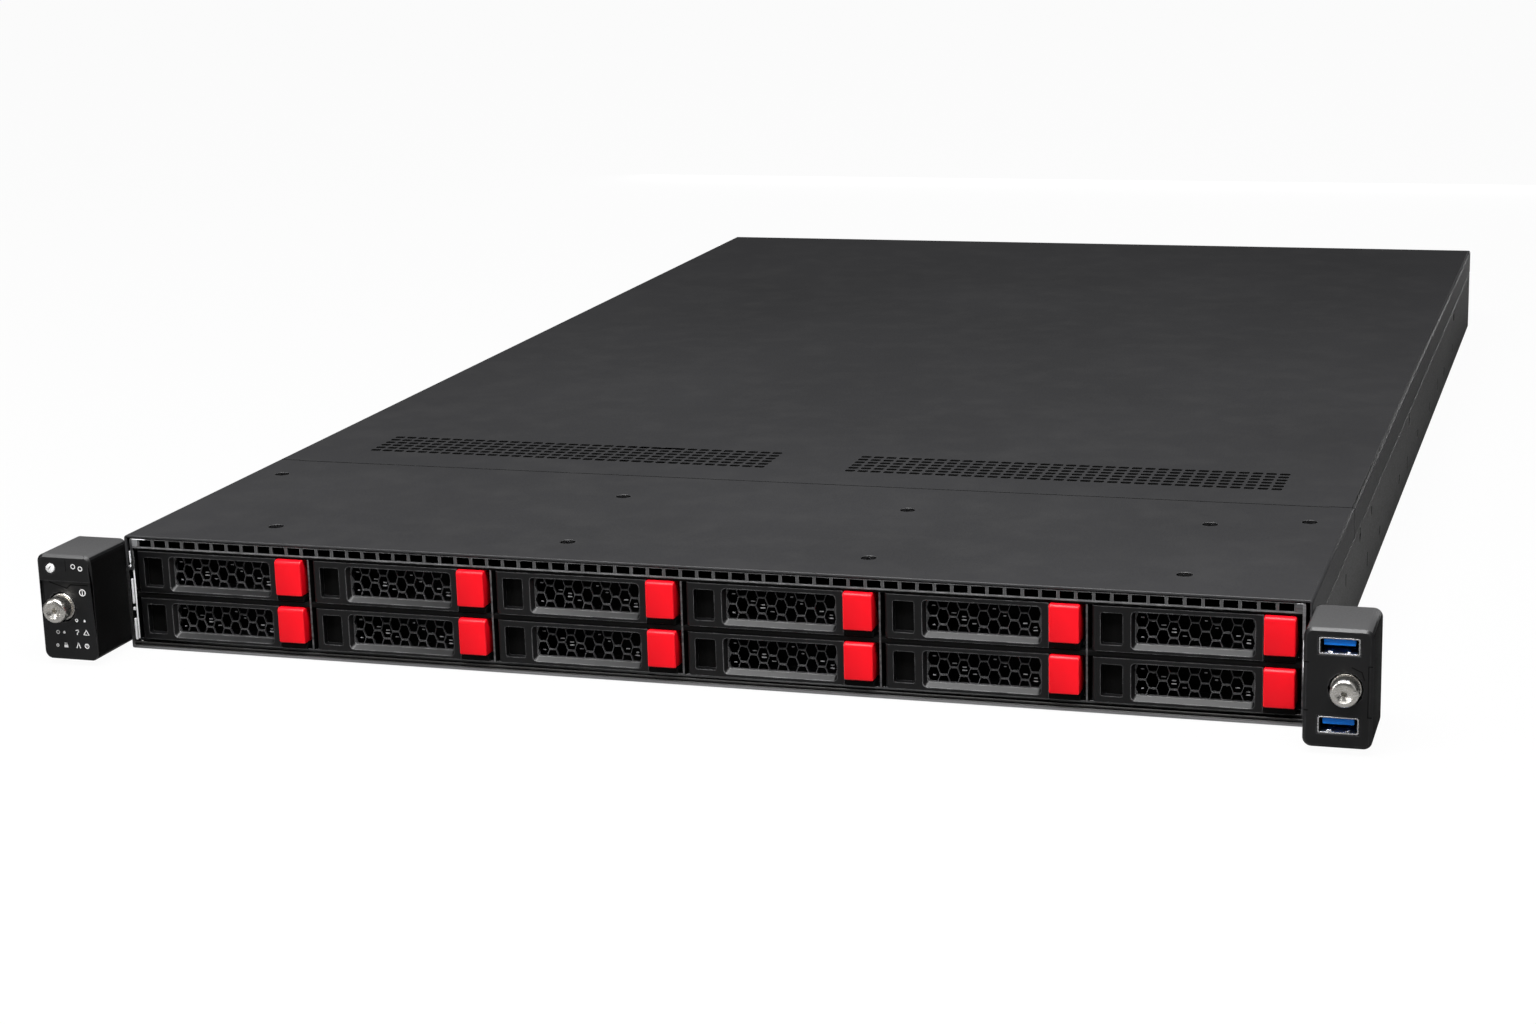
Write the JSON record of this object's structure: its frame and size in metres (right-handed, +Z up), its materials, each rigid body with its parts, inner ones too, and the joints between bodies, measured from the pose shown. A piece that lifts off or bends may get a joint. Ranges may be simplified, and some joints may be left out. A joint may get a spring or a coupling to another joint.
{
  "type": "1u rack server",
  "caption": "Low rack server with front drive bays behind swing-out honeycomb levers, lidded steel case, fans and plug-in power supplies.",
  "frame": {"origin": "on the underside, midway between the sides, in the plane of the rack's front posts (the back of the ears)", "axes": "+X to the right seen from the front, +Y from the front to the back, +Z up"},
  "size_m": [0.4826, 0.7936, 0.0436],
  "materials": {
    "case_paint": "fine textured powder coat",
    "cage_steel": "plain zinc plated sheet",
    "bezel_plastic": "satin moulded",
    "tray_metal": "brushed",
    "release_red": "satin moulded",
    "ear_plastic": "satin moulded",
    "screw_nickel": "nickel plated",
    "port_steel": "plated shell, blue tongue",
    "button_white": "translucent white",
    "board_green": "solder mask",
    "fan_plastic": "moulded",
    "sink_metal": "extruded",
    "module_board": "solder mask",
    "supply_metal": "zinc plated, black handle"
  },
  "bodies": {
    "chassis": {"chassis_tray": "case_paint", "front_cover": "case_paint", "cover_screws": "screw_nickel", "drive_cage": "cage_steel", "backplane": "board_green", "left_ear": "ear_plastic", "right_ear": "ear_plastic", "usb_ports": "port_steel", "fan_frames": "fan_plastic", "motherboard": "board_green", "heat_sinks": "sink_metal", "memory_modules": "module_board"},
    "drive_tray_01": {"drive_tray_01": "tray_metal"},
    "tray_lever_01": {"tray_lever_01": "bezel_plastic"},
    "release_button_01": {"release_button_01": "release_red"},
    "drive_tray_02": {"drive_tray_02": "tray_metal"},
    "tray_lever_02": {"tray_lever_02": "bezel_plastic"},
    "release_button_02": {"release_button_02": "release_red"},
    "drive_tray_03": {"drive_tray_03": "tray_metal"},
    "tray_lever_03": {"tray_lever_03": "bezel_plastic"},
    "release_button_03": {"release_button_03": "release_red"},
    "drive_tray_04": {"drive_tray_04": "tray_metal"},
    "tray_lever_04": {"tray_lever_04": "bezel_plastic"},
    "release_button_04": {"release_button_04": "release_red"},
    "drive_tray_05": {"drive_tray_05": "tray_metal"},
    "tray_lever_05": {"tray_lever_05": "bezel_plastic"},
    "release_button_05": {"release_button_05": "release_red"},
    "drive_tray_06": {"drive_tray_06": "tray_metal"},
    "tray_lever_06": {"tray_lever_06": "bezel_plastic"},
    "release_button_06": {"release_button_06": "release_red"},
    "drive_tray_07": {"drive_tray_07": "tray_metal"},
    "tray_lever_07": {"tray_lever_07": "bezel_plastic"},
    "release_button_07": {"release_button_07": "release_red"},
    "drive_tray_08": {"drive_tray_08": "tray_metal"},
    "tray_lever_08": {"tray_lever_08": "bezel_plastic"},
    "release_button_08": {"release_button_08": "release_red"},
    "drive_tray_09": {"drive_tray_09": "tray_metal"},
    "tray_lever_09": {"tray_lever_09": "bezel_plastic"},
    "release_button_09": {"release_button_09": "release_red"},
    "drive_tray_10": {"drive_tray_10": "tray_metal"},
    "tray_lever_10": {"tray_lever_10": "bezel_plastic"},
    "release_button_10": {"release_button_10": "release_red"},
    "drive_tray_11": {"drive_tray_11": "tray_metal"},
    "tray_lever_11": {"tray_lever_11": "bezel_plastic"},
    "release_button_11": {"release_button_11": "release_red"},
    "drive_tray_12": {"drive_tray_12": "tray_metal"},
    "tray_lever_12": {"tray_lever_12": "bezel_plastic"},
    "release_button_12": {"release_button_12": "release_red"},
    "fan_rotor_1": {"fan_rotor_1": "fan_plastic"},
    "fan_rotor_2": {"fan_rotor_2": "fan_plastic"},
    "fan_rotor_3": {"fan_rotor_3": "fan_plastic"},
    "fan_rotor_4": {"fan_rotor_4": "fan_plastic"},
    "fan_rotor_5": {"fan_rotor_5": "fan_plastic"},
    "fan_rotor_6": {"fan_rotor_6": "fan_plastic"},
    "thumbscrew_left": {"thumbscrew_left": "screw_nickel"},
    "power_supply_left": {"power_supply_left": "supply_metal"},
    "thumbscrew_right": {"thumbscrew_right": "screw_nickel"},
    "power_supply_right": {"power_supply_right": "supply_metal"},
    "power_button": {"power_button": "button_white"},
    "rear_cover": {"rear_cover": "case_paint"}
  },
  "joints": [
    {"name": "tray_slide_01", "type": "slide", "parent": "chassis", "child": "drive_tray_01", "axis": [0, -1, 0], "range_m": [0, 0.13]},
    {"name": "lever_swing_01", "type": "hinge", "parent": "drive_tray_01", "child": "tray_lever_01", "pos_m": [-0.2128, -0.0005, 0.0118], "axis": [0, 0, -1], "range_deg": [0, 60]},
    {"name": "release_press_01", "type": "slide", "parent": "drive_tray_01", "child": "release_button_01", "axis": [0, 1, 0], "range_m": [0, 0.0015], "stiffness_N_per_m": 1500},
    {"name": "tray_slide_02", "type": "slide", "parent": "chassis", "child": "drive_tray_02", "axis": [0, -1, 0], "range_m": [0, 0.13]},
    {"name": "lever_swing_02", "type": "hinge", "parent": "drive_tray_02", "child": "tray_lever_02", "pos_m": [-0.1408, -0.0005, 0.0118], "axis": [0, 0, -1], "range_deg": [0, 60]},
    {"name": "release_press_02", "type": "slide", "parent": "drive_tray_02", "child": "release_button_02", "axis": [0, 1, 0], "range_m": [0, 0.0015], "stiffness_N_per_m": 1500},
    {"name": "tray_slide_03", "type": "slide", "parent": "chassis", "child": "drive_tray_03", "axis": [0, -1, 0], "range_m": [0, 0.13]},
    {"name": "lever_swing_03", "type": "hinge", "parent": "drive_tray_03", "child": "tray_lever_03", "pos_m": [-0.0688, -0.0005, 0.0118], "axis": [0, 0, -1], "range_deg": [0, 60]},
    {"name": "release_press_03", "type": "slide", "parent": "drive_tray_03", "child": "release_button_03", "axis": [0, 1, 0], "range_m": [0, 0.0015], "stiffness_N_per_m": 1500},
    {"name": "tray_slide_04", "type": "slide", "parent": "chassis", "child": "drive_tray_04", "axis": [0, -1, 0], "range_m": [0, 0.13]},
    {"name": "lever_swing_04", "type": "hinge", "parent": "drive_tray_04", "child": "tray_lever_04", "pos_m": [0.0032, -0.0005, 0.0118], "axis": [0, 0, -1], "range_deg": [0, 60]},
    {"name": "release_press_04", "type": "slide", "parent": "drive_tray_04", "child": "release_button_04", "axis": [0, 1, 0], "range_m": [0, 0.0015], "stiffness_N_per_m": 1500},
    {"name": "tray_slide_05", "type": "slide", "parent": "chassis", "child": "drive_tray_05", "axis": [0, -1, 0], "range_m": [0, 0.13]},
    {"name": "lever_swing_05", "type": "hinge", "parent": "drive_tray_05", "child": "tray_lever_05", "pos_m": [0.0752, -0.0005, 0.0118], "axis": [0, 0, -1], "range_deg": [0, 60]},
    {"name": "release_press_05", "type": "slide", "parent": "drive_tray_05", "child": "release_button_05", "axis": [0, 1, 0], "range_m": [0, 0.0015], "stiffness_N_per_m": 1500},
    {"name": "tray_slide_06", "type": "slide", "parent": "chassis", "child": "drive_tray_06", "axis": [0, -1, 0], "range_m": [0, 0.13]},
    {"name": "lever_swing_06", "type": "hinge", "parent": "drive_tray_06", "child": "tray_lever_06", "pos_m": [0.1472, -0.0005, 0.0118], "axis": [0, 0, -1], "range_deg": [0, 60]},
    {"name": "release_press_06", "type": "slide", "parent": "drive_tray_06", "child": "release_button_06", "axis": [0, 1, 0], "range_m": [0, 0.0015], "stiffness_N_per_m": 1500},
    {"name": "tray_slide_07", "type": "slide", "parent": "chassis", "child": "drive_tray_07", "axis": [0, -1, 0], "range_m": [0, 0.13]},
    {"name": "lever_swing_07", "type": "hinge", "parent": "drive_tray_07", "child": "tray_lever_07", "pos_m": [-0.2128, -0.0005, 0.0298], "axis": [0, 0, -1], "range_deg": [0, 60]},
    {"name": "release_press_07", "type": "slide", "parent": "drive_tray_07", "child": "release_button_07", "axis": [0, 1, 0], "range_m": [0, 0.0015], "stiffness_N_per_m": 1500},
    {"name": "tray_slide_08", "type": "slide", "parent": "chassis", "child": "drive_tray_08", "axis": [0, -1, 0], "range_m": [0, 0.13]},
    {"name": "lever_swing_08", "type": "hinge", "parent": "drive_tray_08", "child": "tray_lever_08", "pos_m": [-0.1408, -0.0005, 0.0298], "axis": [0, 0, -1], "range_deg": [0, 60]},
    {"name": "release_press_08", "type": "slide", "parent": "drive_tray_08", "child": "release_button_08", "axis": [0, 1, 0], "range_m": [0, 0.0015], "stiffness_N_per_m": 1500},
    {"name": "tray_slide_09", "type": "slide", "parent": "chassis", "child": "drive_tray_09", "axis": [0, -1, 0], "range_m": [0, 0.13]},
    {"name": "lever_swing_09", "type": "hinge", "parent": "drive_tray_09", "child": "tray_lever_09", "pos_m": [-0.0688, -0.0005, 0.0298], "axis": [0, 0, -1], "range_deg": [0, 60]},
    {"name": "release_press_09", "type": "slide", "parent": "drive_tray_09", "child": "release_button_09", "axis": [0, 1, 0], "range_m": [0, 0.0015], "stiffness_N_per_m": 1500},
    {"name": "tray_slide_10", "type": "slide", "parent": "chassis", "child": "drive_tray_10", "axis": [0, -1, 0], "range_m": [0, 0.13]},
    {"name": "lever_swing_10", "type": "hinge", "parent": "drive_tray_10", "child": "tray_lever_10", "pos_m": [0.0032, -0.0005, 0.0298], "axis": [0, 0, -1], "range_deg": [0, 60]},
    {"name": "release_press_10", "type": "slide", "parent": "drive_tray_10", "child": "release_button_10", "axis": [0, 1, 0], "range_m": [0, 0.0015], "stiffness_N_per_m": 1500},
    {"name": "tray_slide_11", "type": "slide", "parent": "chassis", "child": "drive_tray_11", "axis": [0, -1, 0], "range_m": [0, 0.13]},
    {"name": "lever_swing_11", "type": "hinge", "parent": "drive_tray_11", "child": "tray_lever_11", "pos_m": [0.0752, -0.0005, 0.0298], "axis": [0, 0, -1], "range_deg": [0, 60]},
    {"name": "release_press_11", "type": "slide", "parent": "drive_tray_11", "child": "release_button_11", "axis": [0, 1, 0], "range_m": [0, 0.0015], "stiffness_N_per_m": 1500},
    {"name": "tray_slide_12", "type": "slide", "parent": "chassis", "child": "drive_tray_12", "axis": [0, -1, 0], "range_m": [0, 0.13]},
    {"name": "lever_swing_12", "type": "hinge", "parent": "drive_tray_12", "child": "tray_lever_12", "pos_m": [0.1472, -0.0005, 0.0298], "axis": [0, 0, -1], "range_deg": [0, 60]},
    {"name": "release_press_12", "type": "slide", "parent": "drive_tray_12", "child": "release_button_12", "axis": [0, 1, 0], "range_m": [0, 0.0015], "stiffness_N_per_m": 1500},
    {"name": "fan_spin_1", "type": "hinge", "parent": "chassis", "child": "fan_rotor_1", "pos_m": [-0.175, 0.22, 0.021], "axis": [0, 1, 0], "continuous": true},
    {"name": "fan_spin_2", "type": "hinge", "parent": "chassis", "child": "fan_rotor_2", "pos_m": [-0.105, 0.22, 0.021], "axis": [0, 1, 0], "continuous": true},
    {"name": "fan_spin_3", "type": "hinge", "parent": "chassis", "child": "fan_rotor_3", "pos_m": [-0.035, 0.22, 0.021], "axis": [0, 1, 0], "continuous": true},
    {"name": "fan_spin_4", "type": "hinge", "parent": "chassis", "child": "fan_rotor_4", "pos_m": [0.035, 0.22, 0.021], "axis": [0, 1, 0], "continuous": true},
    {"name": "fan_spin_5", "type": "hinge", "parent": "chassis", "child": "fan_rotor_5", "pos_m": [0.105, 0.22, 0.021], "axis": [0, 1, 0], "continuous": true},
    {"name": "fan_spin_6", "type": "hinge", "parent": "chassis", "child": "fan_rotor_6", "pos_m": [0.175, 0.22, 0.021], "axis": [0, 1, 0], "continuous": true},
    {"name": "thumbscrew_turn_left", "type": "hinge", "parent": "chassis", "child": "thumbscrew_left", "pos_m": [-0.2326, 0, 0.0218], "axis": [0, 1, 0], "continuous": true},
    {"name": "supply_slide_left", "type": "slide", "parent": "chassis", "child": "power_supply_left", "axis": [0, 1, 0], "range_m": [0, 0.19]},
    {"name": "thumbscrew_turn_right", "type": "hinge", "parent": "chassis", "child": "thumbscrew_right", "pos_m": [0.2326, 0, 0.0218], "axis": [0, 1, 0], "continuous": true},
    {"name": "supply_slide_right", "type": "slide", "parent": "chassis", "child": "power_supply_right", "axis": [0, 1, 0], "range_m": [0, 0.19]},
    {"name": "power_press", "type": "slide", "parent": "chassis", "child": "power_button", "axis": [0, 1, 0], "range_m": [0, 0.0008], "stiffness_N_per_m": 900},
    {"name": "rear_cover_slide", "type": "slide", "parent": "chassis", "child": "rear_cover", "axis": [0, 1, 0], "range_m": [0, 0.012]}
  ]
}
